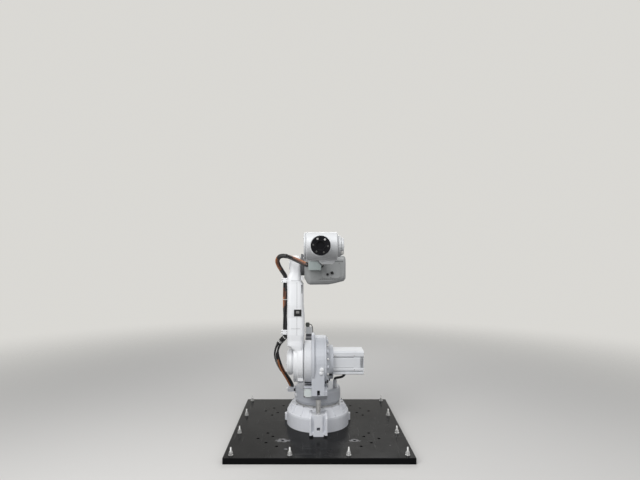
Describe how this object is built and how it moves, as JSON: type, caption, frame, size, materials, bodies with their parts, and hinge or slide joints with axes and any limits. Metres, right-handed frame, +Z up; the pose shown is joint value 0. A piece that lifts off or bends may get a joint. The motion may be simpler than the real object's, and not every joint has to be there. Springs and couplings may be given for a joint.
{
  "type": "industrial robot arm",
  "caption": "Six-axis industrial robot arm in white castings with an external cable harness and a black tool flange, standing on a square black steel floor plate.",
  "frame": {"origin": "on the first (vertical) axis, at the underside of the floor plate", "axes": "+Z up along the first axis; the arm faces -Y at rest, with the forearm level; +X is the arm's left side, where the second axis's motor is"},
  "size_m": [1.2, 1.552, 1.4325],
  "materials": {
    "white_casting": "satin",
    "plate_steel": "satin",
    "bare_steel": "satin",
    "dark_plastic": "matte",
    "black_flange": "satin",
    "grey_plastic": "satin",
    "grey_metal": "satin",
    "cable_sleeve": "matte"
  },
  "bodies": {
    "base": {"mounting_plate": "plate_steel", "base_casting": "white_casting", "base_top_ring": "grey_metal", "rear_connector_box": "white_casting", "rear_power_connector": "dark_plastic", "rear_signal_connector": "dark_plastic", "stop_pin": "bare_steel"},
    "turret": {"turret_casting": "white_casting", "turret_cover_plate": "white_casting", "shoulder_gearbox": "white_casting", "axis2_motor_flange": "white_casting", "axis2_motor": "white_casting", "axis2_motor_end": "white_casting", "axis1_motor": "white_casting", "axis1_motor_cap": "dark_plastic", "turret_harness_bracket": "white_casting", "motor_hose_fitting": "white_casting", "motor_hose": "cable_sleeve", "harness_lower_loop": "cable_sleeve"},
    "lower_arm": {"lower_arm_casting": "white_casting", "shoulder_cover": "white_casting", "elbow_cover": "white_casting", "arm_plate": "dark_plastic", "elbow_stop": "white_casting", "harness_arm_run": "cable_sleeve", "harness_clamp_low": "white_casting", "harness_clamp_high": "white_casting"},
    "upper_arm": {"elbow_bearing": "grey_metal", "elbow_housing": "white_casting", "housing_front_panel": "white_casting", "socket_small": "dark_plastic", "socket_large": "dark_plastic", "cable_hood": "grey_plastic", "forearm_bearing": "grey_metal", "rear_cover": "white_casting", "axis3_motor": "white_casting", "axis4_motor": "white_casting", "harness_upper_loop": "cable_sleeve"},
    "forearm": {"forearm_casting": "white_casting", "wrist_gear_cover": "white_casting", "forearm_motor_belly": "white_casting"},
    "wrist": {"wrist_housing": "white_casting", "wrist_end_cap": "white_casting", "wrist_nose": "white_casting"},
    "flange": {"tool_flange": "black_flange"}
  },
  "joints": [
    {"name": "axis_1_base_turn", "type": "hinge", "parent": "base", "child": "turret", "pos_m": [0, 0, 0], "axis": [0, 0, 1], "range_deg": [-180, 180]},
    {"name": "axis_2_shoulder", "type": "hinge", "parent": "turret", "child": "lower_arm", "pos_m": [0, -0.15, 0.5265], "axis": [1, 0, 0], "range_deg": [-90, 65], "deforming": ["harness_lower_loop"]},
    {"name": "axis_3_elbow", "type": "hinge", "parent": "lower_arm", "child": "upper_arm", "pos_m": [0, -0.15, 1.2265], "axis": [-1, 0, 0], "range_deg": [-60, 200], "deforming": ["harness_upper_loop"]},
    {"name": "axis_4_forearm_roll", "type": "hinge", "parent": "upper_arm", "child": "forearm", "pos_m": [0, -0.15, 1.3445], "axis": [0, -1, 0], "range_deg": [-155, 155]},
    {"name": "axis_5_wrist_bend", "type": "hinge", "parent": "forearm", "child": "wrist", "pos_m": [0, -0.79, 1.3445], "axis": [-1, 0, 0], "range_deg": [-115, 115]},
    {"name": "axis_6_flange_turn", "type": "hinge", "parent": "wrist", "child": "flange", "pos_m": [0, -0.79, 1.3445], "axis": [0, -1, 0], "range_deg": [-200, 200]}
  ]
}
